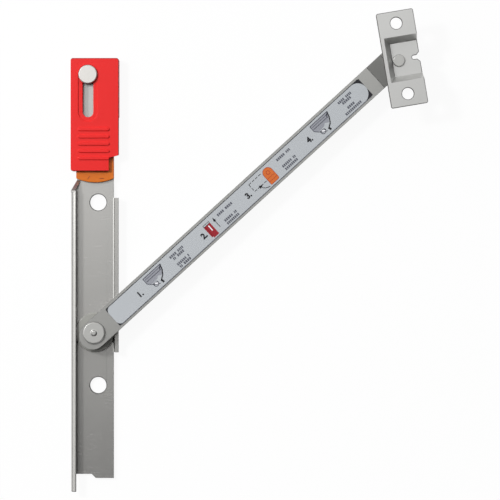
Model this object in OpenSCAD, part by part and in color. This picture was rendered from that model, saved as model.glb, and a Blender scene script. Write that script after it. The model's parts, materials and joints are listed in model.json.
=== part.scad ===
// Window restrictor: a folded rail with a sliding shoe, a long arm to a sash bracket,
// and a release made of a sliding cover over a turning stop tab.

/* [Rail] */
// Thickness of the steel sheet of the rail
sheet_t = 1.5; // [1.2:0.1:1.8]
// Overall width over both walls
rail_w = 19.6; // [19.2:0.1:21]
// Rail centreline, measured from the line of the screw holes
rail_x = -1.2; // [-2:0.1:0]
// Inside radius of the folds
bend_r = 1; // [0.8:0.1:1.2]
// Height of the long wall above the fixing face
long_wall_h = 5.7; // [5.6:0.1:6]
// Width of the return lip on the long wall, from the outside
lip_w = 2.1; // [2:0.1:2.4]
// Height of the short wall above the fixing face
short_wall_h = 4.5; // [4.2:0.1:5]
// From the middle of the screw holes down to the open end
rail_below = 76.8; // [70:0.2:90]
// Length of the lip past the open end of the web
tongue_l = 7; // [3:0.5:12]
// Step in the open end of the web, on the long wall's side
end_step = 1.7; // [0.5:0.1:3]
// Length of the slope that starts the long wall
ramp_l = 4.4; // [3:0.1:4.8]
// Length of the short wall
short_wall_l = 64.2; // [50:0.1:66]
// From the tab's stop end down to the upper end of the long wall
long_wall_gap = 3.4; // [2:0.1:8]
// From the tab's stop end down to the upper end of the short wall
short_wall_gap = 6.4; // [4:0.1:12]

/* [Screw holes] */
// Distance between the two rail screw holes
rail_screw_pitch = 76.2; // [70:0.1:80]
// Diameter of the rail screw holes
rail_screw_d = 6.8; // [5:0.1:7.5]
// Distance between the two bracket screw holes
bracket_screw_pitch = 29.2; // [28.6:0.1:30.5]
// Diameter of the bracket screw holes
bracket_screw_d = 4.8; // [4:0.1:5.2]

/* [Shoe and bush] */
// Position of the shoe along the rail, as drawn
shoe_y = -16; // [-20:0.5:0]
// Clearance between the shoe and each wall
shoe_side_gap = 0.15; // [0.1:0.05:0.3]
// Outside diameter of the bush on the shoe
bush_d = 7.6; // [7:0.1:9]
// Diameter of the pivot rivet's shank
pivot_d = 5; // [4:0.1:5.4]
// Radius of the pivot rivet's wide head
pivot_head_r = 4.65; // [4:0.05:5]
// Thickness of the pivot rivet's wide head
pivot_head_h = 1.1; // [0.8:0.1:1.5]
// Radius of the nub in the middle of the wide head
nub_r = 1.35; // [0.8:0.05:1.8]

/* [Arm] */
// Distance from the pivot to the swivel, along the arm
arm_l = 168.3; // [150:0.5:200]
// Width of the arm
arm_w = 11.3; // [10.6:0.1:13]
// Thickness of the arm
arm_t = 2; // [1.6:0.1:2.5]
// Angle of the arm from square across the rail, as drawn
arm_angle = 42.4; // [20:0.2:70]
// Distance of the round nose's centre behind the pivot
nose_l = 1.3; // [0:0.1:2]
// Distance of the pivot from the arm's centreline
pivot_side = 0.6; // [0:0.1:0.8]
// Distance of the swivel from the arm's centreline, on the side away from the pivot's
tip_side = 1.4; // [0:0.1:2]
// Height that the arm steps up beside the swivel
joggle_h = 2.5; // [2:0.1:4]
// Length of the step, along the arm
joggle_run = 4; // [3:0.1:5]
// Distance from the swivel back to the foot of the step
joggle_back = 11.3; // [10.6:0.1:14]
// Space between the cover's pin and the arm above it
arm_clear = 0.6; // [0.5:0.1:1.2]

/* [Label] */
// Width of the label
label_w = 9.3; // [7:0.1:9.6]
// Bare length of the arm between the label and the foot of the step
label_bare = 5.6; // [2:0.1:40]
// Distance from the pivot to the label
label_start = 9.9; // [7:0.1:11]
// Thickness of the label
label_t = 0.2; // [0.1:0.05:0.3]
// Corner radius of the label
label_r = 1.2; // [0.5:0.1:2]

/* [Bracket] */
// Length of the bracket
bracket_l = 39.2; // [38.4:0.2:44]
// Width of the bracket
bracket_w = 15.3; // [15:0.1:17]
// Thickness of the bracket's sheet
bracket_t = 1.5; // [1.2:0.1:1.8]
// Angle of the bracket's length from the rail's, as drawn
bracket_angle = 9.5; // [0:0.5:30]
// Depth of the pocket
pocket_depth = 4; // [3.4:0.1:4.5]
// Length of the pocket at its rim
pocket_l = 18.4; // [18:0.1:19]
// Width of the flat strip beside the pocket
pocket_strip = 1.6; // [1.2:0.1:2]
// How far the pocket's walls lean in from rim to floor
pocket_lean = 2.4; // [2:0.1:2.8]
// Depth of the notch in the floor's open edge
notch_depth = 3.2; // [2:0.1:3.6]
// Width of the notch
notch_w = 1.6; // [1:0.1:2.4]
// Distance from the swivel to the middle of the bracket's length
swivel_up = 0.4; // [0:0.1:1]
// Distance from the swivel to the middle of the bracket's width
swivel_in = 1.1; // [0.5:0.1:1.4]
// Diameter of the swivel rivet's shank
swivel_d = 3.2; // [2.6:0.1:3.4]
// Radius of the swivel rivet's heads
swivel_head_r = 2.5; // [2.3:0.1:2.8]
// Thickness of the swivel rivet's heads
swivel_head_h = 0.7; // [0.5:0.1:1]
// Thickness of the swivel washer
washer_t = 0.6; // [0.4:0.1:1]
// Outside radius of the swivel washer
washer_r = 3.2; // [3:0.1:3.6]

/* [Cover] */
// Length of the cover's long side
cover_l = 46.9; // [46:0.1:48]
// How far the cover stands out past each wall of the rail
cover_over = 0.2; // [0:0.05:1]
// Length of the tab that shows below the cover
tab_shows = 4.7; // [3:0.1:6]
// Thickness of the cover's top
cover_t = 1.8; // [1.4:0.1:2.2]
// Thickness of the cover's skirts
skirt_t = 1.9; // [1.6:0.1:1.9]
// Clearance between the tab and the inside of each skirt
skirt_gap = 0.25; // [0.15:0.05:0.6]
// Radius of the cover's corners
cover_corner_r = 1; // [0.6:0.1:1.5]
// Distance that the cover slides to free the tab
cover_travel = 15.5; // [12:0.1:16]
// Width of the notch in the cover's lower corner
step_w = 4.2; // [3:0.1:5]
// Height of the notch at its inner side
step_h = 5.5; // [4:0.1:6.5]
// Rise of the notch's top edge, from its inner side to the skirt
step_rise = 1.1; // [0:0.1:2]
// Number of finger ribs
rib_n = 5; // [3:1:5]
// Spacing of the finger ribs
rib_pitch = 3; // [2.6:0.1:3.1]
// Width of a finger rib
rib_w = 1.3; // [1:0.1:1.6]
// Length of a finger rib
rib_l = 13; // [10:0.1:13.4]
// Height of a finger rib
rib_h = 0.5; // [0.3:0.1:0.6]
// From the cover's lower edge to the first rib
rib_start = 5.3; // [5:0.1:6]
// Width of the slot for the pin
slot_w = 4.4; // [4.2:0.1:4.8]
// Depth of the sunken border of the slot
pad_depth = 0.4; // [0.2:0.1:0.6]
// Width of the sunken border, each side of the slot
pad_border = 1.8; // [1:0.1:1.9]
// Clearance between the pin and the slot
pin_gap = 0.25; // [0.2:0.05:0.35]
// Distance of the pin from the cover's closed end
pin_inset = 6.8; // [6:0.1:8]
// Distance of the pin from the line of the screw holes
pin_x = -4; // [-4.4:0.1:-3.6]
// Radius of the pin's head
pin_head_r = 3.9; // [3.4:0.1:4.1]
// Thickness of the pin's head
pin_head_h = 1; // [0.8:0.1:1.2]

/* [Tab] */
// Distance from the middle of the screw holes to the tab's rivet
tab_y = 64.9; // [64.4:0.1:65.4]
// How far the tab stands out past each edge of the web
tab_over = 0.2; // [0:0.05:0.4]
// Thickness of the tab
tab_t = 1.8; // [1.5:0.1:2]
// Radius of the tab's rounded stop end, about its rivet
tab_reach = 18.6; // [18.2:0.1:19]
// Diameter of the tab rivet's shank
tab_rivet_d = 4; // [3:0.1:5]
// Radius of the tab rivet's countersunk head
tab_head_r = 3; // [2.9:0.1:3.6]

/* [Hidden] */
$fn = 64;
eps = 0.01;
// Radial clearance of each turning pin in its bore
pin_fit = 0.05;
// Gap between flat faces that slide on each other
slide_gap = 0.1;
// Overlap of neighbouring pieces of one solid
cut = 1;

// Widths that follow the rail's
cover_w = rail_w + 2 * cover_over;
tab_w = cover_w - 2 * (skirt_t + skirt_gap);
web_w = tab_w - 2 * tab_over;

// Rail edges across its width
left_out = rail_x - rail_w / 2;
right_out = rail_x + rail_w / 2;
left_in = left_out + sheet_t;
right_in = right_out - sheet_t;
web_left = rail_x - web_w / 2;
web_right = rail_x + web_w / 2;
fold_r = bend_r + sheet_t;
lip_fold_in = 0.3;
lip_fold_r = lip_fold_in + sheet_t;
// Width of the leaning start of the long wall, measured across the rail, and its lap on the wall
ramp_w = sheet_t * norm([web_left - left_out, ramp_l]) / ramp_l;
ramp_lap = 0.8;

// Tab and shoe stations along the rail
tab_end_y = tab_y - tab_reach;
shoe_r = (rail_w - 2 * sheet_t) / 2 - shoe_side_gap;
short_wall_top = tab_end_y - short_wall_gap;
long_wall_top = tab_end_y - long_wall_gap;
long_wall_bottom = end_step - rail_below;

// Heights of the stack above the fixing face
shoe_z = sheet_t + slide_gap;
shoe_top = long_wall_h - sheet_t - 0.15;
tab_z = sheet_t + slide_gap;
tab_top = tab_z + tab_t;
cover_under = tab_top + 2 * slide_gap;
cover_top = cover_under + cover_t;
pin_top = cover_top + slide_gap + pin_head_h;
arm_z = pin_top + arm_clear;
arm_top = arm_z + arm_t;
tip_z = arm_z + joggle_h;
tip_top = tip_z + arm_t;
washer_z = tip_top;
floor_z = washer_z + washer_t + slide_gap / 2;
floor_top = floor_z + bracket_t;
ear_z = floor_z + pocket_depth;
ear_top = ear_z + bracket_t;

// Cover stations along the rail
pin_d = slot_w - 2 * pin_gap;
cover_low = tab_end_y + tab_shows;
cover_high = cover_low + cover_l;
pin_y = cover_high - pin_inset;
slot_low_y = pin_y - cover_travel;
rail_above = cover_high - skirt_t - 0.3;

// Foot of the arm's step, along the arm from the pivot
joggle_x = arm_l - joggle_back;
label_l = joggle_x - label_bare - label_start;
// Riveted necks of the fixed pins, tight in the web
pin_neck_r = 1.4;
tab_neck_r = 1.4;
// Heads that lie sunk in the shoe and in the tab
lower_head_r = pivot_d / 2 + 1;
lower_head_h = 0.8;
tab_head_h = 0.8;

module at_pivot() { translate([rail_x, shoe_y, 0]) children(); }
module on_arm() { at_pivot() rotate(arm_angle) children(); }
module at_swivel() { on_arm() translate([arm_l, -pivot_side - tip_side, 0]) children(); }
module on_bracket() { at_swivel() rotate(bracket_angle - arm_angle) children(); }

module plate(w, l, t, r) {
    // flat plate with round corners, from its lower left corner
    linear_extrude(t) union() {
        translate([r, 0]) square([w - 2 * r, l]);
        translate([0, r]) square([w, l - 2 * r]);
        for (x = [r, w - r], y = [r, l - r]) translate([x, y]) circle(r);
    }
}

module slot_hole(w, y1, y2, z, h) {
    // round-ended slot along y, between the centres of its two ends
    translate([-w / 2, y1, z]) cube([w, y2 - y1, h]);
    for (y = [y1, y2]) translate([0, y, z]) cylinder(d = w, h = h);
}

module fold(x, z, r_in, r_out, from) {
    // quarter of a ring in section, centred at x and z, starting at an angle
    translate([x, z]) difference() {
        intersection() {
            circle(r_out);
            rotate(from) square(r_out + eps);
        }
        circle(r_in);
    }
}

module along_rail(y1, y2) {
    // sweeps a section drawn in x and z along the rail
    translate([0, y2, 0]) rotate([90, 0, 0]) linear_extrude(y2 - y1) children();
}

module long_wall_section() {
    fold(left_out + fold_r, fold_r, bend_r, fold_r, 180);
    translate([left_out, fold_r]) square([sheet_t, long_wall_h - lip_fold_r - fold_r]);
    lip_section();
}

module lip_section() {
    fold(left_out + lip_fold_r, long_wall_h - lip_fold_r, lip_fold_in, lip_fold_r, 90);
    translate([left_out + lip_fold_r, long_wall_h - sheet_t]) square([lip_w - lip_fold_r, sheet_t]);
}

module short_wall_section() {
    fold(right_out - fold_r, fold_r, bend_r, fold_r, 270);
    translate([right_in, fold_r]) square([sheet_t, short_wall_h - fold_r]);
}

module web() {
    step_x = web_left + 0.4 * web_w;
    linear_extrude(sheet_t) polygon([
        [web_left, long_wall_bottom], [step_x, long_wall_bottom],
        [step_x + end_step, -rail_below], [web_right, -rail_below],
        [web_right, rail_above - cut], [web_right - cut, rail_above],
        [web_left + cut, rail_above], [web_left, rail_above - cut],
        [web_left, long_wall_top + ramp_l], [left_out + ramp_w / 2, long_wall_top],
        [left_out + ramp_w / 2, long_wall_top - ramp_lap / 2],
        [left_out + fold_r, long_wall_top - ramp_lap / 2], [left_out + fold_r, long_wall_bottom]]);
}

module wall_ramp() {
    // the start of the long wall, leaning in and down to the edge of the web
    top = long_wall_top;
    end = long_wall_top + ramp_l;
    intersection() {
        linear_extrude(long_wall_h) polygon([
            [left_out, top - ramp_lap], [left_out + ramp_w, top - ramp_lap], [left_out + ramp_w, top],
            [web_left + ramp_w, end], [web_left, end], [left_out, top]]);
        translate([left_out - cut, 0, 0]) rotate([90, 0, 90]) linear_extrude(lip_w + ramp_w + 2 * cut)
            polygon([
                [top - cut, -cut], [end + cut, -cut], [end + cut, sheet_t], [end, sheet_t],
                [top, long_wall_h - eps], [top - cut, long_wall_h - eps]]);
    }
}

module track() {
    color("silver") difference() {
        union() {
            web();
            along_rail(long_wall_bottom, long_wall_top) long_wall_section();
            along_rail(long_wall_bottom - tongue_l, long_wall_bottom) lip_section();
            along_rail(short_wall_top - short_wall_l, short_wall_top) short_wall_section();
            wall_ramp();
        }
        for (y = [-1, 1] * rail_screw_pitch / 2)
            translate([0, y, -cut]) cylinder(d = rail_screw_d, h = sheet_t + 2 * cut);
        translate([pin_x, pin_y, -cut]) cylinder(r = pin_neck_r, h = sheet_t + 2 * cut);
        translate([rail_x, tab_y, -cut]) cylinder(r = tab_neck_r, h = sheet_t + 2 * cut);
    }
}

module slide_shoe() {
    // moulded disc, cut back below to clear the folds, with a recess for the rivet's lower head
    edge = 1;
    color([0.3, 0.31, 0.32]) at_pivot() difference() {
        rotate_extrude() polygon([
            [0, shoe_z], [shoe_r - edge, shoe_z], [shoe_r, shoe_z + edge],
            [shoe_r, shoe_top - 0.3], [shoe_r - 0.3, shoe_top], [0, shoe_top]]);
        translate([0, 0, -cut]) cylinder(r = pivot_d / 2 + pin_fit, h = shoe_top + 2 * cut);
        translate([0, 0, -cut]) cylinder(r = lower_head_r + 0.3, h = shoe_z + lower_head_h + slide_gap + cut);
    }
}

module arm_spacer() {
    color("gainsboro") at_pivot() difference() {
        translate([0, 0, shoe_top]) cylinder(d = bush_d, h = arm_z - slide_gap / 2 - shoe_top);
        translate([0, 0, -cut]) cylinder(r = pivot_d / 2 + pin_fit, h = arm_z + 2 * cut);
    }
}

module pivot_rivet() {
    rim = 0.45;
    nub_h = 0.5;
    head_z = arm_top + slide_gap / 2;
    color("silver") at_pivot() {
        rotate_extrude() polygon([
            [0, shoe_z + eps], [lower_head_r, shoe_z + eps], [lower_head_r, shoe_z + lower_head_h],
            [pivot_d / 2, shoe_z + lower_head_h], [pivot_d / 2, head_z], [pivot_head_r, head_z],
            [pivot_head_r, head_z + pivot_head_h - rim], [pivot_head_r - rim, head_z + pivot_head_h],
            [nub_r, head_z + pivot_head_h], [nub_r * 0.6, head_z + pivot_head_h + nub_h],
            [0, head_z + pivot_head_h + nub_h]]);
    }
}

module arm_plan() {
    // straight bar with round ends in plan, pivot at the origin
    translate([0, -pivot_side]) union() {
        for (x = [-nose_l, arm_l]) translate([x, 0]) circle(arm_w / 2);
        translate([-nose_l, -arm_w / 2]) square([arm_l + nose_l, arm_w]);
    }
}

module arm_profile() {
    // side view of the bar: flat, step up, flat tip
    polygon([
        [-arm_w, arm_z], [joggle_x, arm_z], [joggle_x + joggle_run, tip_z],
        [arm_l + arm_w, tip_z], [arm_l + arm_w, tip_top], [joggle_x + joggle_run, tip_top],
        [joggle_x, arm_top], [-arm_w, arm_top]]);
}

module arm() {
    color("silver") difference() {
        on_arm() intersection() {
            linear_extrude(tip_top + cut) arm_plan();
            translate([0, arm_w, 0]) rotate([90, 0, 0]) linear_extrude(2 * arm_w) arm_profile();
        }
        at_pivot() cylinder(r = pivot_d / 2 + pin_fit, h = arm_top + cut);
        at_swivel() cylinder(r = swivel_d / 2 + pin_fit, h = tip_top + cut);
    }
}

module arm_label() {
    color([0.8, 0.82, 0.86]) on_arm() translate([label_start, -pivot_side - label_w / 2, arm_top])
        plate(label_l, label_w, label_t, label_r);
}

module pocket_block(grow, z_low, z_high) {
    // tapered block of the pocket, wider at the rim, open on the bracket's far side
    rim_l = pocket_l + 2 * grow;
    rim_x = pocket_strip - bracket_w / 2 - grow;
    far_x = bracket_w / 2 + (grow > 0 ? -2 * eps : cut);
    hull() for (level = [[z_high, 0], [z_low, pocket_lean]]) {
        half = rim_l / 2 - level[1];
        translate([rim_x + level[1], -half, level[0]]) cube([far_x - rim_x - level[1], 2 * half, eps]);
    }
}

module bracket() {
    shift_x = swivel_in;
    wall = bracket_t * 0.55;
    edge_x = bracket_w / 2;
    color("silver") on_bracket() translate([shift_x, swivel_up, 0]) difference() {
        union() {
            translate([-bracket_w / 2, -bracket_l / 2, ear_z]) plate(bracket_w, bracket_l, bracket_t, 0.8);
            pocket_block(wall, floor_z, ear_z + bracket_t / 2);
        }
        pocket_block(0, floor_top, ear_top + eps);
        for (y = [-1, 1] * bracket_screw_pitch / 2)
            translate([0, y, floor_z]) cylinder(d = bracket_screw_d, h = pocket_depth + 2 * bracket_t);
        translate([-shift_x, -swivel_up, floor_z - cut])
            cylinder(r = swivel_d / 2 + pin_fit, h = bracket_t + 2 * cut);
        translate([0, 0, floor_z - cut]) linear_extrude(bracket_t + 2 * cut) notch_plan(edge_x);
    }
}

module notch_plan(edge_x) {
    // round-bottomed notch in the floor's open edge, with its mouth flared
    half = notch_w / 2;
    flare = 1.2;
    inner_x = edge_x - notch_depth + half;
    difference() {
        polygon([
            [inner_x - half, -half], [edge_x - flare, -half], [edge_x + cut, -half - flare - cut],
            [edge_x + cut, half + flare + cut], [edge_x - flare, half], [inner_x - half, half]]);
        difference() {
            translate([inner_x - 2 * half, -2 * half]) square([2 * half, 4 * half]);
            translate([inner_x, 0]) circle(half);
        }
    }
}

module swivel_washer() {
    color("gainsboro") at_swivel() difference() {
        translate([0, 0, washer_z]) cylinder(r = washer_r, h = washer_t);
        translate([0, 0, washer_z - cut]) cylinder(r = swivel_d / 2 + pin_fit, h = washer_t + 2 * cut);
    }
}

module swivel_rivet() {
    low_z = tip_z - slide_gap / 2;
    high_z = floor_top + slide_gap / 2;
    dome = 0.25;
    color("silver") at_swivel() rotate_extrude() polygon([
        [0, low_z - swivel_head_h], [swivel_head_r - dome, low_z - swivel_head_h],
        [swivel_head_r, low_z - swivel_head_h + dome], [swivel_head_r, low_z],
        [swivel_d / 2, low_z], [swivel_d / 2, high_z], [swivel_head_r, high_z],
        [swivel_head_r, high_z + swivel_head_h - dome],
        [swivel_head_r - dome, high_z + swivel_head_h], [0, high_z + swivel_head_h]]);
}

module cover_shell() {
    // outside of the cover, with the notch cut from its lower corner
    corner_x = rail_x + cover_w / 2 - step_w;
    skirt_low = slide_gap;
    difference() {
        translate([rail_x - cover_w / 2, cover_low, skirt_low])
            plate(cover_w, cover_l, cover_top - skirt_low, cover_corner_r);
        translate([0, 0, -cut]) linear_extrude(cover_top + 2 * cut) polygon([
            [corner_x, cover_low - cut], [corner_x, cover_low + step_h],
            [corner_x + step_w + cut, cover_low + step_h + step_rise * (step_w + cut) / step_w],
            [corner_x + step_w + cut, cover_low - cut]]);
    }
}

module cover() {
    hollow_w = cover_w - 2 * skirt_t;
    tab_side_top = tab_y + tab_w / 2 + 0.5;
    color([0.92, 0.2, 0.2]) difference() {
        union() {
            cover_shell();
            for (i = [0:rib_n - 1])
                translate([rail_x - rib_l / 2 - 0.4, cover_low + rib_start + i * rib_pitch, cover_top - eps])
                    finger_rib();
        }
        // the hollow over the web and the tab, open at the lower end
        translate([rail_x - hollow_w / 2, cover_low - cut, -cut])
            cube([hollow_w, cover_l - skirt_t + cut, cover_under + cut]);
        // the opening in the skirt that the tab turns through
        translate([rail_x, cover_low - cut, -cut])
            cube([cover_w, tab_side_top - cover_low + cut, cover_under + cut]);
        translate([pin_x, 0, 0]) {
            slot_hole(slot_w, slot_low_y, pin_y, 0, cover_top + cut);
            slot_hole(slot_w + 2 * pad_border, slot_low_y, pin_y, cover_top - pad_depth, pad_depth + cut);
        }
    }
}

module finger_rib() {
    // bar with a rounded top and round ends
    r = rib_w / 2;
    linear_extrude(rib_h + eps) union() {
        translate([r, -r]) square([rib_l - rib_w, rib_w]);
        for (x = [r, rib_l - r]) translate([x, 0]) circle(r);
    }
}

module cover_pin() {
    rim = 0.3;
    head_z = cover_top + slide_gap;
    color("gainsboro") translate([pin_x, pin_y, 0]) rotate_extrude() polygon([
        [0, 0], [pin_neck_r, 0], [pin_neck_r, sheet_t], [pin_d / 2, sheet_t], [pin_d / 2, head_z],
        [pin_head_r, head_z], [pin_head_r, pin_top - rim], [pin_head_r - rim, pin_top], [0, pin_top]]);
}

module tab() {
    // round about its rivet above, straight sides, and a stop end struck from the rivet
    color([0.86, 0.46, 0.14]) translate([rail_x, tab_y, 0]) difference() {
        translate([0, 0, tab_z]) linear_extrude(tab_t) union() {
            circle(tab_w / 2);
            intersection() {
                circle(tab_reach);
                translate([-tab_w / 2, -tab_reach]) square([tab_w, tab_reach]);
            }
        }
        translate([0, 0, tab_z - cut]) cylinder(r = tab_rivet_d / 2 + pin_fit, h = tab_t + 2 * cut);
        translate([0, 0, tab_top - tab_head_h]) cylinder(r = tab_head_r + 0.1, h = tab_head_h + cut);
    }
}

module tab_rivet() {
    color("silver") translate([rail_x, tab_y, 0]) rotate_extrude() polygon([
        [0, 0], [tab_neck_r, 0], [tab_neck_r, sheet_t], [tab_rivet_d / 2, sheet_t],
        [tab_rivet_d / 2, tab_top - tab_head_h + slide_gap / 2],
        [tab_head_r, tab_top - tab_head_h + slide_gap / 2], [tab_head_r, tab_top], [0, tab_top]]);
}

track();
slide_shoe();
arm_spacer();
pivot_rivet();
arm();
arm_label();
bracket();
swivel_washer();
swivel_rivet();
cover();
cover_pin();
tab();
tab_rivet();
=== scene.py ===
import json
import math

import bmesh
import bpy
from mathutils import Matrix, Vector


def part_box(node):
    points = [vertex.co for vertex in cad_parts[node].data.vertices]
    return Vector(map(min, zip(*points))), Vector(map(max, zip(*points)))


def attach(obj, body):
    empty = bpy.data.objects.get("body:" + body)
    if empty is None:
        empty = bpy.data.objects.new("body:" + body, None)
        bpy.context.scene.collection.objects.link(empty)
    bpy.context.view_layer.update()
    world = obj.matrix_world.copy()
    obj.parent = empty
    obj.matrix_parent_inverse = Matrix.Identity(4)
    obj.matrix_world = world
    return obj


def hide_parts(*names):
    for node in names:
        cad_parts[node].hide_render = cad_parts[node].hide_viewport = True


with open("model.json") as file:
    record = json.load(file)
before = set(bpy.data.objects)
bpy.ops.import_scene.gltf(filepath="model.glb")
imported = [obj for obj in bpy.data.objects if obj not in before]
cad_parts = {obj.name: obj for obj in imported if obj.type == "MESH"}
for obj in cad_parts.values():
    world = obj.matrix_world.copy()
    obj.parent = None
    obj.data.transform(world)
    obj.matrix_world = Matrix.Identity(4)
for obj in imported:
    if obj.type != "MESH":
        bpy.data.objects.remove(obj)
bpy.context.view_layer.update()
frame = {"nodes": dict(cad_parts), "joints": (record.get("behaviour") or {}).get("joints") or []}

MM = 0.001
bpy.ops.object.select_all(action="DESELECT")

# The view: straight down on the restrictor, which lies on a white table. A lamp stands
# high at the upper left. The room is bright from that side, dimmer from the top of the
# picture, and dark from the right and from below.
VIEW_CENTRE = (63.26, 18.23)
VIEW_HEIGHT = 850
VIEW_WIDTH = 208.4
VIEW_REACH = 10000
FOCUS_PLANE = 1.5
SENSOR = 36
KEY_PLACE = (-480, 300, 720)
KEY_TARGET = (50, 20, 0)
KEY_SIZE = 120
KEY_POWER = 4.9
ROOM_LIGHT = 1.4
ROOM_EDGE = (-0.08, 0.13)
LOW_LIGHT = 0.12
FULL_LIGHT_FROM = 0.7
FLOOR_SIZE = 2000
FLOOR_GAP = 0.2
PAPER = (0.9, 0.9, 0.9, 1)
WHITENESS = 0.93

camera_data = bpy.data.cameras.new("view")
camera_data.sensor_width = SENSOR
camera_data.lens = SENSOR * VIEW_HEIGHT / VIEW_WIDTH
camera_data.clip_end = VIEW_REACH * MM
camera = bpy.data.objects.new("view", camera_data)
camera.location = (VIEW_CENTRE[0] * MM, VIEW_CENTRE[1] * MM, (VIEW_HEIGHT + FOCUS_PLANE) * MM)
bpy.context.scene.collection.objects.link(camera)
bpy.context.scene.camera = camera
bpy.context.scene.view_settings.view_transform = "Standard"


class Wire:
    """A socket of a node tree that can stand in a sum."""

    def __init__(self, tree, socket):
        self.tree = tree
        self.socket = socket

    def maths(self, operation, second, first=None):
        """A Math node with this wire as its first value, unless another is given."""
        made = self.tree.nodes.new("ShaderNodeMath")
        made.operation = operation
        join(self.tree, made.inputs[0], self if first is None else first)
        join(self.tree, made.inputs[1], second)
        return Wire(self.tree, made.outputs[0])

    def __add__(self, other):
        return self.maths("ADD", other)

    def __radd__(self, other):
        return self.maths("ADD", self, other)

    def __sub__(self, other):
        return self.maths("SUBTRACT", other)

    def __rsub__(self, other):
        return self.maths("SUBTRACT", self, other)

    def __mul__(self, other):
        return self.maths("MULTIPLY", other)

    def __rmul__(self, other):
        return self.maths("MULTIPLY", self, other)


def join(tree, socket, value):
    """Links a wire to a socket, or writes a plain value on it."""
    if isinstance(value, Wire):
        tree.links.new(value.socket, socket)
    else:
        socket.default_value = value


def node(tree, kind, settings, inputs):
    """Any other node, with its settings first. Its outputs come back by name."""
    made = tree.nodes.new(kind)
    for name, value in settings.items():
        setattr(made, name, value)
    for name, value in inputs.items():
        join(tree, made.inputs[name], value)
    return {output.name: Wire(tree, output) for output in made.outputs if output.enabled}


def eased(value, low, high, least, most):
    """A value taken smoothly from one range to another."""
    return node(value.tree, "ShaderNodeMapRange", {"interpolation_type": "SMOOTHSTEP"}, {
        "Value": value, "From Min": low, "From Max": high, "To Min": least, "To Max": most})["Result"]


def lamp(name, place, target, size, power):
    """A square soft lamp, with its place and target in millimetres."""
    data = bpy.data.lights.new(name, "AREA")
    data.size = size * MM
    data.energy = power
    made = bpy.data.objects.new(name, data)
    made.location = Vector(place) * MM
    made.rotation_euler = (Vector(target) - Vector(place)).to_track_quat("-Z", "Y").to_euler()
    bpy.context.scene.collection.objects.link(made)


lamp("key", KEY_PLACE, KEY_TARGET, KEY_SIZE, KEY_POWER)

world = bpy.data.worlds.new("room")
bpy.context.scene.world = world
world.use_nodes = True
room = world.node_tree
room.nodes.clear()
around = node(room, "ShaderNodeTexCoord", {}, {})["Generated"]
parts = node(room, "ShaderNodeSeparateXYZ", {}, {"Vector": around})
lean = (1.2 * parts["Y"] - 0.5 * parts["X"]).maths("MINIMUM", 0.5 - 0.5 * parts["Y"])
side = eased(lean, *ROOM_EDGE, 0.0, ROOM_LIGHT)
height = eased(parts["Z"], 0.0, FULL_LIGHT_FROM, LOW_LIGHT, 1.0)
shade = node(room, "ShaderNodeBackground", {}, {
    "Color": (1, 1, 1, 1), "Strength": side * height})["Background"]
node(room, "ShaderNodeOutputWorld", {}, {"Surface": shade})

bpy.ops.mesh.primitive_plane_add(size=FLOOR_SIZE * MM, location=(0, 0, -FLOOR_GAP * MM))
floor = bpy.context.object
floor.name = "floor"
white_table = bpy.data.materials.new("white_table")
white_table.use_nodes = True
table = white_table.node_tree
table.nodes.clear()
path = node(table, "ShaderNodeLightPath", {}, {})
paper = node(table, "ShaderNodeBsdfDiffuse", {}, {"Color": PAPER})["BSDF"]
glow = node(table, "ShaderNodeEmission", {}, {"Color": (1, 1, 1, 1), "Strength": 1.0})["Emission"]
shown = path["Is Camera Ray"] + path["Is Glossy Ray"] + path["Is Transmission Ray"]
lit = node(table, "ShaderNodeMixShader", {}, {
    0: shown.maths("MINIMUM", 1.0) * WHITENESS, 1: paper, 2: glow})["Shader"]
node(table, "ShaderNodeOutputMaterial", {}, {"Surface": lit})
floor.data.materials.append(white_table)


# The rail: one strip of satin stainless sheet, punched and folded in a press, with a long
# wall and its return lip on the left and a short wall on the right. Two screws through
# its floor hold it to the window frame. Its cut edges and the rounding beside them are
# painted darker than its faces, as painted shade for the dark lines along them.
RAIL_TONE = (186, 185, 182)
EDGE_SHADE_TONE = (84, 82, 81)
RAIL_EDGE = 0.28
RAIL_RIM = 2.0
RAIL_HOLE_RUNS = (0.25, 0.56)
METAL = 0.82
GRAIN = (250, 9000, 9000)
GRAIN_SHARE = 0.7
GRAIN_BUMP = 0.05
GRAIN_DEPTH = 0.02
STEEL_DARK = 0.93
STEEL_LIGHT = 1.05
CLOUD = 90.0
SAME_POINT = 0.002
SAME_PLANE = 0.6
SHARP = 80
UPRIGHT = 0.25
RINGS = 3


def colour(red, green, blue):
    """A screen colour from 0 to 255 as the renderer's linear colour."""
    def linear(part):
        part = part / 255
        return part / 12.92 if part < 0.04045 else ((part + 0.055) / 1.055) ** 2.4
    return (linear(red), linear(green), linear(blue), 1)


def toned(tone, factor):
    """A colour made darker or lighter, and no lighter than white."""
    return tuple(min(factor * part, 1) for part in tone[:3]) + (1,)


def noise(place, scale, detail, roughness):
    """Soft noise over a piece, from 0 to 1."""
    return node(place.tree, "ShaderNodeTexNoise", {}, {
        "Vector": place, "Scale": scale, "Detail": detail, "Roughness": roughness})["Fac"]


def dress(shader, mark, dark, light, roughness, height, strength, depth):
    """Feeds a shader's colour by a mark, its roughness, and its bump by a height."""
    tree = mark.tree
    tint = node(tree, "ShaderNodeMix", {"data_type": "RGBA"}, {0: mark, 6: dark, 7: light})["Result"]
    bump = node(tree, "ShaderNodeBump", {}, {
        "Height": height, "Strength": strength, "Distance": depth * MM})["Normal"]
    join(tree, shader.inputs["Base Color"], tint)
    join(tree, shader.inputs["Roughness"], roughness)
    join(tree, shader.inputs["Normal"], bump)


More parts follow.
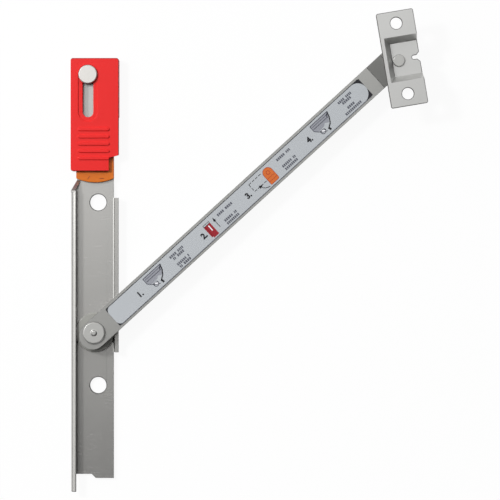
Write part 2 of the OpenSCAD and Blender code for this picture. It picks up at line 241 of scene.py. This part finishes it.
def steel(name, tone, roughness, grain_angle):
    """Satin stainless sheet with a fine rolled grain along one direction."""
    made = bpy.data.materials.new(name)
    made.use_nodes = True
    tree = made.node_tree
    shader = tree.nodes["Principled BSDF"]
    place = node(tree, "ShaderNodeTexCoord", {}, {})["Object"]
    turned = node(tree, "ShaderNodeMapping", {}, {
        "Vector": place, "Rotation": (0, 0, -grain_angle), "Scale": GRAIN})["Vector"]
    grain = noise(turned, 1.0, 4.0, 0.6)
    mark = GRAIN_SHARE * grain + (1 - GRAIN_SHARE) * noise(place, CLOUD, 3.0, 0.55)
    dress(shader, mark, toned(tone, STEEL_DARK), toned(tone, STEEL_LIGHT),
          roughness - 0.04 + 0.1 * mark, grain, GRAIN_BUMP, GRAIN_DEPTH)
    shader.inputs["Metallic"].default_value = METAL
    return made


def copied(source, name):
    """A copy of a solid as one closed skin with large flat faces and two empty materials."""
    piece = frame["nodes"][source].copy()
    piece.data = piece.data.copy()
    piece.name = name
    piece.data.name = name
    piece.data.materials.clear()
    piece.data.materials.append(None)
    piece.data.materials.append(None)
    bpy.context.scene.collection.objects.link(piece)
    bpy.ops.object.select_all(action="DESELECT")
    piece.select_set(True)
    bpy.context.view_layer.objects.active = piece
    bpy.ops.object.mode_set(mode="EDIT")
    bpy.ops.mesh.select_all(action="SELECT")
    bpy.ops.mesh.remove_doubles(threshold=SAME_POINT * MM)
    bpy.ops.mesh.dissolve_limited(angle_limit=math.radians(SAME_PLANE))
    bpy.ops.object.mode_set(mode="OBJECT")
    return piece


def punched(piece, edge, runs):
    """Rounds the square edges whose straight runs lie between two lengths, away from finer runs."""
    least, most = runs
    bpy.ops.object.mode_set(mode="EDIT")
    mesh = bmesh.from_edit_mesh(piece.data)
    fine = {point for line in mesh.edges if line.calc_length() < least * MM for point in line.verts}
    for line in mesh.edges:
        line.select_set(False)
    for line in mesh.edges:
        sharp = line.is_convex and line.calc_face_angle(0) > math.radians(SHARP)
        if sharp and not fine & set(line.verts) and line.calc_length() < most * MM:
            line.select_set(True)
    bmesh.update_edit_mesh(piece.data)
    bpy.ops.mesh.bevel(offset=edge * MM, segments=3, clamp_overlap=False, material=1)
    bpy.ops.object.mode_set(mode="OBJECT")
    return piece


def softened(piece, edge, steps=2, limit=32):
    """Rounds the sharp edges of a piece, as rumbling or moulding leaves them."""
    bevel = piece.modifiers.new("edge", "BEVEL")
    bevel.material = 1
    bevel.width = edge * MM
    bevel.segments = steps
    bevel.limit_method = "ANGLE"
    bevel.angle_limit = math.radians(limit)
    bevel.use_clamp_overlap = True
    bpy.ops.object.modifier_apply(modifier=bevel.name)
    bpy.ops.object.shade_smooth_by_angle(angle=math.radians(limit + 15))
    flat = piece.modifiers.new("flat", "WEIGHTED_NORMAL")
    flat.keep_sharp = True
    flat.weight = 100
    bpy.ops.object.modifier_apply(modifier=flat.name)
    return piece


def tall(piece, face):
    """How far a face reaches up, in millimetres."""
    heights = [piece.data.vertices[i].co.z for i in face.vertices]
    return (max(heights) - min(heights)) / MM


def rounding(piece, corners, lowest=-math.inf):
    """The rounded faces within a few rings of some corners, as far as they lie above a height."""
    found = set()
    for ring in range(RINGS):
        beside = [face for face in piece.data.polygons if face.material_index == 1
                  and face.center.z > lowest and corners & set(face.vertices)]
        found |= {face.index for face in beside}
        corners = corners | {i for face in beside for i in face.vertices}
    return found


def rims(piece, sheet):
    """The faces of a sheet's punched edges: low upright walls and the rounding beside them."""
    low = [face for face in piece.data.polygons
           if abs(face.normal.z) < UPRIGHT and tall(piece, face) < sheet]
    corners = {i for face in low for i in face.vertices}
    return {face.index for face in low} | rounding(piece, corners)


def fit(piece, source, body, finish, edge=None, size=0, chosen=rims):
    """Gives a piece its finish, and its chosen edges a darker material of painted shade, and sets it in
    place of a solid.
    """
    edges = chosen(piece, size) if edge else set()
    for face in piece.data.polygons:
        face.material_index = int(face.index in edges)
    piece.data.materials[0] = finish
    if edge:
        piece.data.materials[1] = edge
    else:
        piece.data.materials.pop(index=1)
    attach(piece, body)
    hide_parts(source)


rail_steel = steel("rail_steel", colour(*RAIL_TONE), roughness=0.25, grain_angle=math.pi / 2)
# A darker steel of painted shade, for the cut edges and their rounding on every steel piece.
edge_shade_steel = steel("edge_shade_steel", colour(*EDGE_SHADE_TONE), roughness=0.5, grain_angle=0)
rail_sheet = punched(copied("track", "rail_sheet"), RAIL_EDGE, RAIL_HOLE_RUNS)
softened(rail_sheet, RAIL_EDGE)
fit(rail_sheet, "track", "rail", rail_steel, edge_shade_steel, RAIL_RIM)


# The shoe: a round moulding in grey plastic that slides between the two walls of the
# rail, under the lip. The arm turns on the rivet through its middle.
SHOE_TONE = (150, 150, 145)
SHOE_EDGE = 0.12
MOTTLE = 120.0
PEBBLE = 2600.0
PEBBLE_DEPTH = 0.05


def plastic(name, tone, roughness, coat, mottle=0.04, pebble=0.02):
    """Moulded plastic with a faint mottle and a very fine moulded surface."""
    made = bpy.data.materials.new(name)
    made.use_nodes = True
    tree = made.node_tree
    shader = tree.nodes["Principled BSDF"]
    place = node(tree, "ShaderNodeTexCoord", {}, {})["Object"]
    skin = noise(place, PEBBLE, 2.0, 0.5)
    dress(shader, noise(place, MOTTLE, 3.0, 0.5), toned(tone, 1 - mottle), toned(tone, 1 + mottle),
          roughness - 0.03 + 0.06 * skin, skin, pebble, PEBBLE_DEPTH)
    shader.inputs["Specular IOR Level"].default_value = 0.3
    shader.inputs["Coat Weight"].default_value = coat
    shader.inputs["Coat Roughness"].default_value = 0.15
    return made


shoe_plastic = plastic("shoe_plastic", colour(*SHOE_TONE), roughness=0.4, coat=0.2)
shoe_moulding = softened(copied("slide_shoe", "shoe_moulding"), SHOE_EDGE)
fit(shoe_moulding, "slide_shoe", "shoe", shoe_plastic)


# The bush and the pivot rivet: a turned steel tube that lifts the arm clear of the red
# cover, and a steel rivet with a wide flat head, closed over the arm so that a nub is
# left in its middle.
RIVET_TONE = (190, 190, 187)
RIVET_EDGE = 0.1
RIVET_RIM = 3.0

rivet_steel = steel("rivet_steel", colour(*RIVET_TONE), roughness=0.36, grain_angle=0)
bush_tube = softened(copied("arm_spacer", "bush_tube"), RIVET_EDGE)
fit(bush_tube, "arm_spacer", "shoe", rivet_steel)
pivot_head = softened(copied("pivot_rivet", "pivot_head"), RIVET_EDGE, limit=40)
# The rim of the rivet's head takes the darker steel of painted shade.
fit(pivot_head, "pivot_rivet", "shoe", rivet_steel, edge_shade_steel, RIVET_RIM)


# The arm: a flat bar of rolled stainless steel with round ends, stepped up near the
# bracket in a press. It turns on the shoe's rivet and carries the bracket's rivet at its
# tip. Its step slopes further here than in the solid, and ends at the same height.
ARM_TONE = (172, 172, 169)
ARM_EDGE = 0.45
ARM_RIM = 3.0
TIP_OFFSET = 2.0
STEP_END = 161.0
STEP_MORE = 3.4
STEP_NEAR = 0.1

joints = {joint["name"]: joint for joint in frame["joints"]}
pivot = Vector(joints["arm_swing"]["pos_m"])
reach = Vector(joints["bracket_swivel"]["pos_m"]) - pivot
arm_angle = math.atan2(reach.y, reach.x) + math.asin(TIP_OFFSET * MM / reach.to_2d().length)
arm_line = Vector((math.cos(arm_angle), math.sin(arm_angle), 0))

arm_steel = steel("arm_steel", colour(*ARM_TONE), roughness=0.3, grain_angle=arm_angle)
arm_bar = copied("arm", "arm_bar")
for point in arm_bar.data.vertices:
    if abs((point.co - pivot).dot(arm_line) - STEP_END * MM) < STEP_NEAR * MM:
        point.co += STEP_MORE * MM * arm_line
softened(arm_bar, ARM_EDGE, limit=12)
# The arm's cut edges and their rounding take the darker steel of painted shade.
fit(arm_bar, "arm", "arm", arm_steel, edge_shade_steel, ARM_RIM)


# The label: a strip of pale blue grey film, printed in layers of ink and stuck on the
# arm. It has four numbered steps, each with a small picture and rows of short bars, and
# a thin dark border.
FILM_TONE = (181, 185, 189)
FILM_EDGE = 0.05
LAYER = 0.012
STRIP_SIDE = 0.6
STRIP_START = 9.9
STRIP_END = 151.4
STRIP_HALF = 4.65
START_CORNER = 2.3
END_CORNER = 4.4
BORDER = 0.25
BORDER_IN = 0.02
CORNER_IN = 0.2
LINE_SHORT = 0.6
NUMERAL_HIGH = 2.35
NUMERAL_Y = -0.35
NUMERAL_BOLD = 0.14
CAPITAL_SHARE = 0.7
BAR_STEP = 0.85
BAR_SPACE = 0.24
BAR_HIGH = 1.05
GROUP_GAP = 0.8
ROW_WIDTH = 9.4
DASH = 1.2
DASH_STEP = 1.75
DASH_LINE = 0.24

label_film = plastic("label_film", colour(*FILM_TONE), roughness=0.42, coat=0.08, mottle=0.03, pebble=0.0)
label_strip = softened(copied("arm_label", "label_strip"), FILM_EDGE, steps=1)
fit(label_strip, "arm_label", "arm", label_film)
label_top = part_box("arm_label")[1].z
on_arm = (Matrix.Translation((pivot.x, pivot.y, label_top))
          @ Matrix.Rotation(arm_angle, 4, "Z")
          @ Matrix.Translation((0, -STRIP_SIDE * MM, 0)))


def ink(name, tone):
    """Flat printing ink, slightly uneven."""
    return plastic(name, tone, roughness=0.5, coat=0.1, mottle=0.06, pebble=0.0)


# The inks stand in the order of their layers, the lowest first.
inks = {
    "pale": ink("pale_ink", colour(146, 148, 156)),
    "orange": ink("orange_ink", colour(206, 104, 40)),
    "red": ink("red_ink", colour(150, 22, 36)),
    "white": ink("white_ink", colour(232, 232, 236)),
    "grey": ink("grey_ink", colour(88, 90, 100)),
    "black": ink("black_ink", colour(26, 26, 32)),
}
printed = {tone: [] for tone in inks}


def outline(tone, points):
    """One closed printed shape, its corners in millimetres along and across the arm."""
    curve = bpy.data.curves.new("print", "CURVE")
    curve.dimensions = "2D"
    curve.fill_mode = "BOTH"
    line = curve.splines.new("POLY")
    line.points.add(len(points) - 1)
    for point, (x, y) in zip(line.points, points):
        point.co = (x * MM, y * MM, 0, 1)
    line.use_cyclic_u = True
    made = bpy.data.objects.new("print", curve)
    bpy.context.scene.collection.objects.link(made)
    printed[tone].append(made)


def box(tone, x, y, width, height):
    """A printed rectangle from its lower left corner."""
    outline(tone, [(x, y), (x + width, y), (x + width, y + height), (x, y + height)])


def stroke(tone, points, width):
    """A printed line through points, with square joints."""
    for (x1, y1), (x2, y2) in zip(points, points[1:]):
        length = math.hypot(x2 - x1, y2 - y1)
        side_x = (y1 - y2) / length * width / 2
        side_y = (x2 - x1) / length * width / 2
        outline(tone, [(x1 + side_x, y1 + side_y), (x1 - side_x, y1 - side_y),
                       (x2 - side_x, y2 - side_y), (x2 + side_x, y2 + side_y)])


def arc(x, y, radius, first, last, steps):
    """Points along an arc, angles in degrees."""
    angles = [math.radians(first + (last - first) * i / steps) for i in range(steps + 1)]
    return [(x + radius * math.cos(a), y + radius * math.sin(a)) for a in angles]


def numeral(text, x):
    """A numeral and its point, as large as on the real strip."""
    bpy.ops.object.text_add(location=(x * MM, (NUMERAL_Y - NUMERAL_HIGH / 2) * MM, 0))
    made = bpy.context.object
    made.data.body = text
    made.data.size = NUMERAL_HIGH / CAPITAL_SHARE * MM
    made.data.offset = NUMERAL_BOLD * MM
    printed["black"].append(made)


def bar_rows(x, rows):
    """Centred rows of bars, each row as (height across the arm, lengths of its groups)."""
    for y, lengths in rows:
        total = sum(lengths) + GROUP_GAP * (len(lengths) - 1)
        place = x + (ROW_WIDTH - total) / 2
        for length in lengths:
            bars = round(length / BAR_STEP)
            for i in range(bars):
                box("grey", place + i * length / bars, y - BAR_HIGH / 2, length / bars - BAR_SPACE, BAR_HIGH)
            place += length + GROUP_GAP


def window_picture(x, swing):
    """A window seen from above: its frame, its sash, and the arm that holds it open."""
    outline("pale", [(x, 0.6), (x, 3.3), (x + 9.6, 3.3), (x + 9.0, 1.9), (x + 7.2, -0.6), (x + 5.6, 0.3),
                     (x + 4.6, -0.5), (x + 2.2, -0.7), (x + 1.2, -0.4)])
    outline("white", [(x + 2.0, -1.5), (x + 3.0, -0.9), (x + 4.2, -2.0), (x + 3.2, -2.7)])
    stroke("grey", [(x + 2.0, -1.5), (x + 3.0, -0.9), (x + 4.2, -2.0)], 0.25)
    stroke("grey", [(x + 0.4, 2.4), (x + 8.8, 2.4)], 0.2)
    stroke("grey", [(x, 0.6), (x, 3.3), (x + 9.6, 3.3), (x + 8.6, 1.0)], 0.32)
    stroke("grey", [(x, 0.6), (x + 2.6, -2.0), (x + 4.4, -2.8)], 0.3)
    stroke("grey", [(x + 0.4, 1.4), (x + 7.6, 1.4)], 0.3)
    stroke("grey", arc(x + 2.9, -1.7, 1.1, 130, 400, 10), 0.3)
    stroke("grey", [(x + 9.4, 3.0), (x + 8.2, 2.2), (x + 7.9, 1.2)], 0.5)
    stroke("black", [(x + 9.2, 2.7), (x + 8.8, 1.2), (x + 7.4, -0.8 - swing), (x + 5.6, -2.0 - swing)],
           0.46)
    stroke("black", [(x + 5.5, -1.8 - swing), (x + 5.9, -3.4)], 0.85)


def cover_picture(x):
    """The red cover, a frame over it, and an arrow for the way it is pushed."""
    frame_line = 0.18
    box("red", x + 0.6, -3.9, 2.7, 5.8)
    box("red", x, -3.2, 0.7, 5.1)
    box("white", x + 1.8, -1.2, 0.5, 2.6)
    box("black", x, 1.9, 3.3, frame_line)
    box("black", x, 2.8 - frame_line, 3.3, frame_line)
    for end in (x, x + 3.3 - frame_line):
        box("black", end, 1.9 + frame_line, frame_line, 0.9 - 2 * frame_line)
    stroke("black", [(x + 5.4, -2.2), (x + 5.4, 1.4)], 0.25)
    outline("black", [(x + 4.8, 1.0), (x + 6.0, 1.0), (x + 5.4, 2.8)])


def tab_picture(x):
    """The orange tab, the dashed place that it leaves, and an arrow for the way it turns."""
    edge = arc(x + 10.9, -3.0, 0.7, -90, 0, 4) + arc(x + 9.4, 1.0, 2.2, 0, 180, 12) + [(x + 7.2, -3.7)]
    outline("orange", edge)
    stroke("red", edge + edge[:1], 0.16)
    stroke("red", arc(x + 9.4, 1.0, 0.8, 0, 360, 10), 0.16)
    for y in (-0.9, -2.3):
        stroke("red", [(x + 7.4, y), (x + 11.4, y)], 0.14)
    for i in range(4):
        for y in (2.55, -1.2):
            box("black", x + 0.2 + DASH_STEP * i, y, DASH, DASH_LINE)
    for i in range(2):
        box("black", x, -0.4 + DASH_STEP * i, DASH_LINE, DASH)
    stroke("black", arc(x + 6.5, -0.4, 3.3, 200, 268, 7), 0.28)
    outline("black", [(x + 2.6, -1.9), (x + 4.3, -1.4), (x + 2.9, -0.4)])


def border_corners(end, radius, turn):
    """The film's two printed corners at one end, round inside and square outside."""
    for flip in (1, -1):
        bend = [(end + turn * (radius - x), flip * (STRIP_HALF - CORNER_IN - radius + y))
                for x, y in arc(0, 0, radius, 0, 90, 8)]
        outline("black", [(end + turn * 0.05, flip * (STRIP_HALF - CORNER_IN))] + bend)


def border_lines():
    """The border's two long lines, the darker one along the upper side."""
    for tone, y in (("black", STRIP_HALF - BORDER_IN - BORDER), ("grey", BORDER_IN - STRIP_HALF)):
        box(tone, STRIP_START + LINE_SHORT, y, STRIP_END - STRIP_START - 2 * LINE_SHORT, BORDER)


numeral("1.", 23.7)
numeral("2.", 59.5)
numeral("3.", 84.2)
numeral("4.", 118.4)
bar_rows(43.0, [(2.3, (3.6, 3.0)), (0.9, (1.4, 3.6)), (-1.9, (5.0, 0.7)), (-3.3, (1.4, 3.8))])
bar_rows(69.7, [(2.0, (3.6, 3.8)), (-1.7, (4.4, 1.4)), (-3.3, (6.6,))])
bar_rows(102.7, [(2.3, (4.4, 2.2)), (-1.3, (5.0, 1.4)), (-2.9, (6.8,))])
bar_rows(137.2, [(2.5, (3.4, 3.0)), (1.2, (4.6,)), (-1.5, (3.8,)), (-3.1, (8.6,))])
window_picture(29.8, 0.0)
window_picture(123.2, 0.3)
cover_picture(62.7)
tab_picture(88.3)
border_corners(STRIP_START, START_CORNER, 1)
border_corners(STRIP_END, END_CORNER, -1)
border_lines()

for layer, (tone, shapes) in enumerate(printed.items(), 1):
    bpy.ops.object.select_all(action="DESELECT")
    for shape in shapes:
        shape.select_set(True)
    bpy.context.view_layer.objects.active = shapes[0]
    bpy.ops.object.convert(target="MESH")
    bpy.context.view_layer.objects.active = shapes[0]
    if len(shapes) > 1:
        bpy.ops.object.join()
    sheet = bpy.context.view_layer.objects.active
    bpy.ops.object.transform_apply(location=True, rotation=True, scale=True)
    sheet.name = "print_" + tone
    sheet.data.name = sheet.name
    sheet.data.transform(on_arm @ Matrix.Translation((0, 0, layer * LAYER * MM)))
    sheet.data.materials.clear()
    sheet.data.materials.append(inks[tone])
    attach(sheet, "arm")


# The bracket: stainless sheet, punched and pressed, with a pocket sunk in its middle, a
# notch in the pocket's open edge, and a screw hole in each ear. It turns on a steel rivet
# through the arm's tip, with a thin washer between the two.
BRACKET_TONE = (206, 206, 204)
BRACKET_ANGLE = 9.5
BRACKET_CUT = 0.24
BRACKET_EDGE = 0.3
BRACKET_RIM = 2.4
ALL_RUNS = (0.06, 100)
SWIVEL_EDGE = 0.08
SWIVEL_RIM = 3.0

bracket_steel = steel("bracket_steel", colour(*BRACKET_TONE), roughness=0.34,
                      grain_angle=math.radians(BRACKET_ANGLE))
bracket_pressing = punched(copied("bracket", "bracket_pressing"), BRACKET_CUT, ALL_RUNS)
softened(bracket_pressing, BRACKET_EDGE, steps=3)
# The bracket's cut edges, hole rims and their rounding take the darker steel of painted shade.
fit(bracket_pressing, "bracket", "bracket", bracket_steel, edge_shade_steel, BRACKET_RIM)
swivel_ring = softened(copied("swivel_washer", "swivel_ring"), SWIVEL_EDGE)
fit(swivel_ring, "swivel_washer", "arm", rivet_steel)
swivel_head = softened(copied("swivel_rivet", "swivel_head"), SWIVEL_EDGE, limit=40)
# The rim of the swivel rivet's head takes the darker steel of painted shade.
fit(swivel_head, "swivel_rivet", "arm", rivet_steel, edge_shade_steel, SWIVEL_RIM)


# The cover: a shell moulded in red plastic that lies over the tab, with finger ribs and a
# slot. It is pushed up along the rail to free the tab, on a headed steel pin that is
# riveted in the rail. The rounding along its top, right and bottom outer edges is painted
# in a dark red as painted shade, a thin dark line. The lit edge on the left is not.
COVER_TONE = (224, 20, 18)
COVER_SHADE_TONE = (44, 2, 5)
COVER_CUT = 0.2
COVER_EDGE = 0.18
COVER_WALL = 2.5
PIN_TONE = (200, 198, 194)
PIN_EDGE = 0.1


def shoulders(piece, wall):
    """The rounding on top of a shell's tall outer walls, which takes the painted shade, but for the lit wall
    on the left.
    """
    walls = [face for face in piece.data.polygons
             if abs(face.normal.z) < UPRIGHT and face.normal.x > -0.5 and tall(piece, face) > wall]
    corners = {i for face in walls for i in face.vertices}
    top = max(point.co.z for point in piece.data.vertices)
    return rounding(piece, corners, top - wall * MM)


cover_red = plastic("cover_red", colour(*COVER_TONE), roughness=0.4, coat=0.05)
# A dark red of painted shade, for the rounding of the cover's unlit outer edges.
cover_edge_shade = plastic("cover_edge_shade", colour(*COVER_SHADE_TONE), roughness=0.5, coat=0)
cover_shell = punched(copied("cover", "cover_shell"), COVER_CUT, ALL_RUNS)
softened(cover_shell, COVER_EDGE, steps=3, limit=40)
fit(cover_shell, "cover", "cover", cover_red, cover_edge_shade, COVER_WALL, shoulders)
pin_steel = steel("pin_steel", colour(*PIN_TONE), roughness=0.5, grain_angle=0)
cover_stud = softened(copied("cover_pin", "cover_stud"), PIN_EDGE)
fit(cover_stud, "cover_pin", "rail", pin_steel)


# The tab: an orange plastic moulding whose round end stops the shoe. It turns aside by
# hand once the cover is up, on a steel rivet sunk in its face. Two small marks are raised
# near its round end, coloured a darker orange as painted shade.
TAB_TONE = (206, 106, 12)
TAB_EDGE = 0.3
TAB_RIVET_EDGE = 0.08
MARK_SHADE_TONE = (150, 66, 14)
MARK_WIDTH = 0.34
MARK_HEIGHT = 0.14
MARK_EDGE = 0.06

tab_orange = plastic("tab_orange", colour(*TAB_TONE), roughness=0.4, coat=0.05)
tab_moulding = softened(copied("tab", "tab_moulding"), TAB_EDGE, steps=3, limit=40)
fit(tab_moulding, "tab", "tab", tab_orange)
tab_stud = softened(copied("tab_rivet", "tab_stud"), TAB_RIVET_EDGE)
fit(tab_stud, "tab_rivet", "rail", rivet_steel)
tab_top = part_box("tab")[1].z
# A darker orange of painted shade, for the tab's raised marks.
mark_shade = plastic("mark_shade", colour(*MARK_SHADE_TONE), roughness=0.45, coat=0.05)


def raised_mark(name, x, y, turn, length):
    """A short ridge on the tab's face, half sunk in it, turned by degrees, in the darker orange of painted
    shade.
    """
    bpy.ops.object.select_all(action="DESELECT")
    bpy.ops.mesh.primitive_cube_add(size=1, location=(x * MM, y * MM, tab_top))
    mark = bpy.context.object
    mark.name = name
    mark.data.name = name
    mark.scale = (length * MM, MARK_WIDTH * MM, MARK_HEIGHT * MM)
    mark.rotation_euler = (0, 0, math.radians(turn))
    bpy.ops.object.transform_apply(location=True, rotation=True, scale=True)
    ridge = mark.modifiers.new("edge", "BEVEL")
    ridge.width = MARK_EDGE * MM
    ridge.segments = 2
    bpy.ops.object.modifier_apply(modifier=ridge.name)
    mark.data.materials.append(mark_shade)
    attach(mark, "tab")


raised_mark("tab_tick", -3.85, 48.3, 56, 1.7)
raised_mark("tab_bar", 1.6, 48.0, 4, 1.9)
